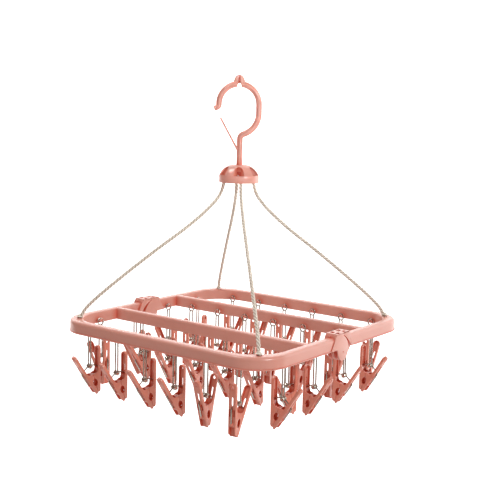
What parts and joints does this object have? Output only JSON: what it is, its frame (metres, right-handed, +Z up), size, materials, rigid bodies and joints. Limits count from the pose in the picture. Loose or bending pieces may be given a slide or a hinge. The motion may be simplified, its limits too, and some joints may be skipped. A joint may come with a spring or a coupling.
{
  "type": "clip drying hanger",
  "caption": "Folding square drying frame with sprung clips on wires, hung by four ropes from a swivel hook with a sprung gate.",
  "frame": {"origin": "inside top of the hook, where it rests on a line or pole, on the swivel axis", "axes": "+Z up along the swivel axis; the long rails and the fold axis run along X; the frame opens along Y"},
  "size_m": [0.4426, 0.4425, 0.5233],
  "materials": {
    "pink_plastic": "satin pink-salmon moulded plastic",
    "clip_plastic": "satin pink-salmon moulded plastic",
    "rope": "cream twisted rope",
    "steel_wire": "bright spring wire"
  },
  "bodies": {
    "hook": {"hook": "pink_plastic"},
    "hook_gate": {"hook_gate": "pink_plastic"},
    "hub": {"hub": "pink_plastic"},
    "front_ropes": {"rope_front_left": "rope", "rope_front_right": "rope"},
    "rear_ropes": {"rope_rear_left": "rope", "rope_rear_right": "rope"},
    "front_half": {"front_frame": "pink_plastic", "hinge_pins": "steel_wire"},
    "rear_half": {"rear_frame": "pink_plastic"},
    "front_rail_clips": {"front_rail_springs": "steel_wire", "front_rail_fixed_jaws": "clip_plastic"},
    "front_rail_jaw_1": {"front_rail_jaw_1": "clip_plastic"},
    "front_rail_jaw_2": {"front_rail_jaw_2": "clip_plastic"},
    "front_rail_jaw_3": {"front_rail_jaw_3": "clip_plastic"},
    "front_rail_jaw_4": {"front_rail_jaw_4": "clip_plastic"},
    "front_rail_jaw_5": {"front_rail_jaw_5": "clip_plastic"},
    "front_rail_jaw_6": {"front_rail_jaw_6": "clip_plastic"},
    "front_bar_clips": {"front_bar_springs": "steel_wire", "front_bar_fixed_jaws": "clip_plastic"},
    "front_bar_jaw_1": {"front_bar_jaw_1": "clip_plastic"},
    "front_bar_jaw_2": {"front_bar_jaw_2": "clip_plastic"},
    "front_bar_jaw_3": {"front_bar_jaw_3": "clip_plastic"},
    "front_bar_jaw_4": {"front_bar_jaw_4": "clip_plastic"},
    "front_bar_jaw_5": {"front_bar_jaw_5": "clip_plastic"},
    "front_bar_jaw_6": {"front_bar_jaw_6": "clip_plastic"},
    "rear_bar_clips": {"rear_bar_springs": "steel_wire", "rear_bar_fixed_jaws": "clip_plastic"},
    "rear_bar_jaw_1": {"rear_bar_jaw_1": "clip_plastic"},
    "rear_bar_jaw_2": {"rear_bar_jaw_2": "clip_plastic"},
    "rear_bar_jaw_3": {"rear_bar_jaw_3": "clip_plastic"},
    "rear_bar_jaw_4": {"rear_bar_jaw_4": "clip_plastic"},
    "rear_bar_jaw_5": {"rear_bar_jaw_5": "clip_plastic"},
    "rear_bar_jaw_6": {"rear_bar_jaw_6": "clip_plastic"},
    "rear_rail_clips": {"rear_rail_springs": "steel_wire", "rear_rail_fixed_jaws": "clip_plastic"},
    "rear_rail_jaw_1": {"rear_rail_jaw_1": "clip_plastic"},
    "rear_rail_jaw_2": {"rear_rail_jaw_2": "clip_plastic"},
    "rear_rail_jaw_3": {"rear_rail_jaw_3": "clip_plastic"},
    "rear_rail_jaw_4": {"rear_rail_jaw_4": "clip_plastic"},
    "rear_rail_jaw_5": {"rear_rail_jaw_5": "clip_plastic"},
    "rear_rail_jaw_6": {"rear_rail_jaw_6": "clip_plastic"},
    "front_outer_side_clips": {"front_outer_side_springs": "steel_wire", "front_outer_side_fixed_jaws": "clip_plastic"},
    "front_outer_side_jaw_1": {"front_outer_side_jaw_1": "clip_plastic"},
    "front_outer_side_jaw_2": {"front_outer_side_jaw_2": "clip_plastic"},
    "front_inner_side_clips": {"front_inner_side_springs": "steel_wire", "front_inner_side_fixed_jaws": "clip_plastic"},
    "front_inner_side_jaw_1": {"front_inner_side_jaw_1": "clip_plastic"},
    "front_inner_side_jaw_2": {"front_inner_side_jaw_2": "clip_plastic"},
    "rear_inner_side_clips": {"rear_inner_side_springs": "steel_wire", "rear_inner_side_fixed_jaws": "clip_plastic"},
    "rear_inner_side_jaw_1": {"rear_inner_side_jaw_1": "clip_plastic"},
    "rear_inner_side_jaw_2": {"rear_inner_side_jaw_2": "clip_plastic"},
    "rear_outer_side_clips": {"rear_outer_side_springs": "steel_wire", "rear_outer_side_fixed_jaws": "clip_plastic"},
    "rear_outer_side_jaw_1": {"rear_outer_side_jaw_1": "clip_plastic"},
    "rear_outer_side_jaw_2": {"rear_outer_side_jaw_2": "clip_plastic"}
  },
  "joints": [
    {"name": "gate_hinge", "type": "hinge", "parent": "hook", "child": "hook_gate", "pos_m": [-0.00249, -0.00184, -0.1025], "axis": [-0.5948, 0.8039, 0], "range_deg": [0, 18], "stiffness_Nm_per_rad": 0.02, "springref_deg": -17.19},
    {"name": "hub_swivel", "type": "hinge", "parent": "hook", "child": "hub", "pos_m": [0, 0, -0.14], "axis": [0, 0, 1], "continuous": true},
    {"name": "front_ropes_tilt", "type": "hinge", "parent": "hub", "child": "front_ropes", "pos_m": [0, -0.017, -0.14975], "axis": [1, 0, 0], "range_deg": [0, 13.6]},
    {"name": "front_half_tilt", "type": "hinge", "parent": "front_ropes", "child": "front_half", "pos_m": [0, -0.1825, -0.382], "axis": [1, 0, 0], "range_deg": [0, 41.5]},
    {"name": "frame_fold", "type": "hinge", "parent": "front_half", "child": "rear_half", "pos_m": [0, 0, -0.405], "axis": [-1, 0, 0], "range_deg": [0, 110], "deforming": ["rope_front_left", "rope_front_right", "rope_rear_left", "rope_rear_right"]},
    {"name": "rear_ropes_tilt", "type": "hinge", "parent": "hub", "child": "rear_ropes", "pos_m": [0, 0.017, -0.14975], "axis": [-1, 0, 0], "range_deg": [0, 13.6]},
    {"name": "front_rail_swing", "type": "hinge", "parent": "front_half", "child": "front_rail_clips", "pos_m": [0, -0.1888, -0.3928], "axis": [1, 0, 0], "range_deg": [-55, 0]},
    {"name": "front_rail_jaw_1_hinge", "type": "hinge", "parent": "front_rail_clips", "child": "front_rail_jaw_1", "pos_m": [-0.1525, -0.1888, -0.456], "axis": [-0.9744, 0.225, 0], "range_deg": [0, 20], "stiffness_Nm_per_rad": 0.04, "springref_deg": -34.38, "deforming": ["front_rail_springs"]},
    {"name": "front_rail_jaw_2_hinge", "type": "hinge", "parent": "front_rail_clips", "child": "front_rail_jaw_2", "pos_m": [-0.0915, -0.1888, -0.456], "axis": [-0.9877, 0.1564, 0], "range_deg": [0, 20], "stiffness_Nm_per_rad": 0.04, "springref_deg": -34.38},
    {"name": "front_rail_jaw_3_hinge", "type": "hinge", "parent": "front_rail_clips", "child": "front_rail_jaw_3", "pos_m": [-0.0305, -0.1888, -0.456], "axis": [-0.9744, 0.225, 0], "range_deg": [0, 20], "stiffness_Nm_per_rad": 0.04, "springref_deg": -34.38},
    {"name": "front_rail_jaw_4_hinge", "type": "hinge", "parent": "front_rail_clips", "child": "front_rail_jaw_4", "pos_m": [0.0305, -0.1888, -0.456], "axis": [-0.9877, 0.1564, 0], "range_deg": [0, 20], "stiffness_Nm_per_rad": 0.04, "springref_deg": -34.38},
    {"name": "front_rail_jaw_5_hinge", "type": "hinge", "parent": "front_rail_clips", "child": "front_rail_jaw_5", "pos_m": [0.0915, -0.1888, -0.456], "axis": [-0.9962, -0.0872, 0], "range_deg": [0, 20], "stiffness_Nm_per_rad": 0.04, "springref_deg": -34.38},
    {"name": "front_rail_jaw_6_hinge", "type": "hinge", "parent": "front_rail_clips", "child": "front_rail_jaw_6", "pos_m": [0.1525, -0.1888, -0.456], "axis": [0.9925, 0.1219, 0], "range_deg": [0, 20], "stiffness_Nm_per_rad": 0.04, "springref_deg": -34.38},
    {"name": "front_bar_swing", "type": "hinge", "parent": "front_half", "child": "front_bar_clips", "pos_m": [0, -0.0659, -0.3928], "axis": [1, 0, 0], "range_deg": [-55, 0]},
    {"name": "front_bar_jaw_1_hinge", "type": "hinge", "parent": "front_bar_clips", "child": "front_bar_jaw_1", "pos_m": [-0.1525, -0.0659, -0.456], "axis": [-0.9962, 0.0872, 0], "range_deg": [0, 20], "stiffness_Nm_per_rad": 0.04, "springref_deg": -34.38, "deforming": ["front_bar_springs"]},
    {"name": "front_bar_jaw_2_hinge", "type": "hinge", "parent": "front_bar_clips", "child": "front_bar_jaw_2", "pos_m": [-0.0915, -0.0659, -0.456], "axis": [-0.9986, -0.0523, 0], "range_deg": [0, 20], "stiffness_Nm_per_rad": 0.04, "springref_deg": -34.38},
    {"name": "front_bar_jaw_3_hinge", "type": "hinge", "parent": "front_bar_clips", "child": "front_bar_jaw_3", "pos_m": [-0.0305, -0.0659, -0.456], "axis": [-0.9925, -0.1219, 0], "range_deg": [0, 20], "stiffness_Nm_per_rad": 0.04, "springref_deg": -34.38},
    {"name": "front_bar_jaw_4_hinge", "type": "hinge", "parent": "front_bar_clips", "child": "front_bar_jaw_4", "pos_m": [0.0305, -0.0659, -0.456], "axis": [-0.9976, 0.0698, 0], "range_deg": [0, 20], "stiffness_Nm_per_rad": 0.04, "springref_deg": -34.38},
    {"name": "front_bar_jaw_5_hinge", "type": "hinge", "parent": "front_bar_clips", "child": "front_bar_jaw_5", "pos_m": [0.0915, -0.0659, -0.456], "axis": [-0.9962, -0.0872, 0], "range_deg": [0, 20], "stiffness_Nm_per_rad": 0.04, "springref_deg": -34.38},
    {"name": "front_bar_jaw_6_hinge", "type": "hinge", "parent": "front_bar_clips", "child": "front_bar_jaw_6", "pos_m": [0.1525, -0.0659, -0.456], "axis": [-0.9925, 0.1219, 0], "range_deg": [0, 20], "stiffness_Nm_per_rad": 0.04, "springref_deg": -34.38},
    {"name": "rear_bar_swing", "type": "hinge", "parent": "rear_half", "child": "rear_bar_clips", "pos_m": [0, 0.0659, -0.3928], "axis": [1, 0, 0], "range_deg": [0, 55]},
    {"name": "rear_bar_jaw_1_hinge", "type": "hinge", "parent": "rear_bar_clips", "child": "rear_bar_jaw_1", "pos_m": [-0.1525, 0.0659, -0.456], "axis": [0.9976, 0.0698, 0], "range_deg": [0, 20], "stiffness_Nm_per_rad": 0.04, "springref_deg": -34.38, "deforming": ["rear_bar_springs"]},
    {"name": "rear_bar_jaw_2_hinge", "type": "hinge", "parent": "rear_bar_clips", "child": "rear_bar_jaw_2", "pos_m": [-0.0915, 0.0659, -0.456], "axis": [0.9945, -0.1045, 0], "range_deg": [0, 20], "stiffness_Nm_per_rad": 0.04, "springref_deg": -34.38},
    {"name": "rear_bar_jaw_3_hinge", "type": "hinge", "parent": "rear_bar_clips", "child": "rear_bar_jaw_3", "pos_m": [-0.0305, 0.0659, -0.456], "axis": [0.9994, 0.0349, 0], "range_deg": [0, 20], "stiffness_Nm_per_rad": 0.04, "springref_deg": -34.38},
    {"name": "rear_bar_jaw_4_hinge", "type": "hinge", "parent": "rear_bar_clips", "child": "rear_bar_jaw_4", "pos_m": [0.0305, 0.0659, -0.456], "axis": [0.9903, 0.1392, 0], "range_deg": [0, 20], "stiffness_Nm_per_rad": 0.04, "springref_deg": -34.38},
    {"name": "rear_bar_jaw_5_hinge", "type": "hinge", "parent": "rear_bar_clips", "child": "rear_bar_jaw_5", "pos_m": [0.0915, 0.0659, -0.456], "axis": [0.9986, -0.0523, 0], "range_deg": [0, 20], "stiffness_Nm_per_rad": 0.04, "springref_deg": -34.38},
    {"name": "rear_bar_jaw_6_hinge", "type": "hinge", "parent": "rear_bar_clips", "child": "rear_bar_jaw_6", "pos_m": [0.1525, 0.0659, -0.456], "axis": [0.9962, 0.0872, 0], "range_deg": [0, 20], "stiffness_Nm_per_rad": 0.04, "springref_deg": -34.38},
    {"name": "rear_rail_swing", "type": "hinge", "parent": "rear_half", "child": "rear_rail_clips", "pos_m": [0, 0.1888, -0.3928], "axis": [1, 0, 0], "range_deg": [0, 55]},
    {"name": "rear_rail_jaw_1_hinge", "type": "hinge", "parent": "rear_rail_clips", "child": "rear_rail_jaw_1", "pos_m": [-0.1525, 0.1888, -0.456], "axis": [0.9976, -0.0698, 0], "range_deg": [0, 20], "stiffness_Nm_per_rad": 0.04, "springref_deg": -34.38, "deforming": ["rear_rail_springs"]},
    {"name": "rear_rail_jaw_2_hinge", "type": "hinge", "parent": "rear_rail_clips", "child": "rear_rail_jaw_2", "pos_m": [-0.0915, 0.1888, -0.456], "axis": [0.9962, 0.0872, 0], "range_deg": [0, 20], "stiffness_Nm_per_rad": 0.04, "springref_deg": -34.38},
    {"name": "rear_rail_jaw_3_hinge", "type": "hinge", "parent": "rear_rail_clips", "child": "rear_rail_jaw_3", "pos_m": [-0.0305, 0.1888, -0.456], "axis": [0.9994, -0.0349, 0], "range_deg": [0, 20], "stiffness_Nm_per_rad": 0.04, "springref_deg": -34.38},
    {"name": "rear_rail_jaw_4_hinge", "type": "hinge", "parent": "rear_rail_clips", "child": "rear_rail_jaw_4", "pos_m": [0.0305, 0.1888, -0.456], "axis": [0.9945, 0.1045, 0], "range_deg": [0, 20], "stiffness_Nm_per_rad": 0.04, "springref_deg": -34.38},
    {"name": "rear_rail_jaw_5_hinge", "type": "hinge", "parent": "rear_rail_clips", "child": "rear_rail_jaw_5", "pos_m": [0.0915, 0.1888, -0.456], "axis": [0.9925, -0.1219, 0], "range_deg": [0, 20], "stiffness_Nm_per_rad": 0.04, "springref_deg": -34.38},
    {"name": "rear_rail_jaw_6_hinge", "type": "hinge", "parent": "rear_rail_clips", "child": "rear_rail_jaw_6", "pos_m": [0.1525, 0.1888, -0.456], "axis": [0.9986, 0.0523, 0], "range_deg": [0, 20], "stiffness_Nm_per_rad": 0.04, "springref_deg": -34.38},
    {"name": "front_outer_side_swing", "type": "hinge", "parent": "front_half", "child": "front_outer_side_clips", "pos_m": [0, -0.1284, -0.3928], "axis": [1, 0, 0], "range_deg": [-55, 0]},
    {"name": "front_outer_side_jaw_1_hinge", "type": "hinge", "parent": "front_outer_side_clips", "child": "front_outer_side_jaw_1", "pos_m": [-0.1888, -0.1284, -0.456], "axis": [0.0872, 0.9962, 0], "range_deg": [0, 20], "stiffness_Nm_per_rad": 0.04, "springref_deg": -34.38, "deforming": ["front_outer_side_springs"]},
    {"name": "front_outer_side_jaw_2_hinge", "type": "hinge", "parent": "front_outer_side_clips", "child": "front_outer_side_jaw_2", "pos_m": [0.1888, -0.1284, -0.456], "axis": [0.0698, -0.9976, 0], "range_deg": [0, 20], "stiffness_Nm_per_rad": 0.04, "springref_deg": -34.38},
    {"name": "front_inner_side_swing", "type": "hinge", "parent": "front_half", "child": "front_inner_side_clips", "pos_m": [0, -0.044, -0.3928], "axis": [1, 0, 0], "range_deg": [-55, 0]},
    {"name": "front_inner_side_jaw_1_hinge", "type": "hinge", "parent": "front_inner_side_clips", "child": "front_inner_side_jaw_1", "pos_m": [-0.1888, -0.044, -0.456], "axis": [-0.1045, 0.9945, 0], "range_deg": [0, 20], "stiffness_Nm_per_rad": 0.04, "springref_deg": -34.38, "deforming": ["front_inner_side_springs"]},
    {"name": "front_inner_side_jaw_2_hinge", "type": "hinge", "parent": "front_inner_side_clips", "child": "front_inner_side_jaw_2", "pos_m": [0.1888, -0.044, -0.456], "axis": [-0.0523, -0.9986, 0], "range_deg": [0, 20], "stiffness_Nm_per_rad": 0.04, "springref_deg": -34.38},
    {"name": "rear_inner_side_swing", "type": "hinge", "parent": "rear_half", "child": "rear_inner_side_clips", "pos_m": [0, 0.044, -0.3928], "axis": [1, 0, 0], "range_deg": [0, 55]},
    {"name": "rear_inner_side_jaw_1_hinge", "type": "hinge", "parent": "rear_inner_side_clips", "child": "rear_inner_side_jaw_1", "pos_m": [-0.1888, 0.044, -0.456], "axis": [0.0523, 0.9986, 0], "range_deg": [0, 20], "stiffness_Nm_per_rad": 0.04, "springref_deg": -34.38, "deforming": ["rear_inner_side_springs"]},
    {"name": "rear_inner_side_jaw_2_hinge", "type": "hinge", "parent": "rear_inner_side_clips", "child": "rear_inner_side_jaw_2", "pos_m": [0.1888, 0.044, -0.456], "axis": [0.0872, -0.9962, 0], "range_deg": [0, 20], "stiffness_Nm_per_rad": 0.04, "springref_deg": -34.38},
    {"name": "rear_outer_side_swing", "type": "hinge", "parent": "rear_half", "child": "rear_outer_side_clips", "pos_m": [0, 0.1284, -0.3928], "axis": [1, 0, 0], "range_deg": [0, 55]},
    {"name": "rear_outer_side_jaw_1_hinge", "type": "hinge", "parent": "rear_outer_side_clips", "child": "rear_outer_side_jaw_1", "pos_m": [-0.1888, 0.1284, -0.456], "axis": [-0.0698, 0.9976, 0], "range_deg": [0, 20], "stiffness_Nm_per_rad": 0.04, "springref_deg": -34.38, "deforming": ["rear_outer_side_springs"]},
    {"name": "rear_outer_side_jaw_2_hinge", "type": "hinge", "parent": "rear_outer_side_clips", "child": "rear_outer_side_jaw_2", "pos_m": [0.1888, 0.1284, -0.456], "axis": [-0.0698, -0.9976, 0], "range_deg": [0, 20], "stiffness_Nm_per_rad": 0.04, "springref_deg": -34.38}
  ],
  "couplings": [
    {"joint": "front_ropes_tilt", "follows": "frame_fold", "ratio": 0.1234},
    {"joint": "front_half_tilt", "follows": "frame_fold", "ratio": 0.3766},
    {"joint": "rear_ropes_tilt", "follows": "frame_fold", "ratio": 0.1234},
    {"joint": "front_rail_swing", "follows": "frame_fold", "ratio": -0.5},
    {"joint": "front_bar_swing", "follows": "frame_fold", "ratio": -0.5},
    {"joint": "rear_bar_swing", "follows": "frame_fold", "ratio": 0.5},
    {"joint": "rear_rail_swing", "follows": "frame_fold", "ratio": 0.5},
    {"joint": "front_outer_side_swing", "follows": "frame_fold", "ratio": -0.5},
    {"joint": "front_inner_side_swing", "follows": "frame_fold", "ratio": -0.5},
    {"joint": "rear_inner_side_swing", "follows": "frame_fold", "ratio": 0.5},
    {"joint": "rear_outer_side_swing", "follows": "frame_fold", "ratio": 0.5}
  ]
}
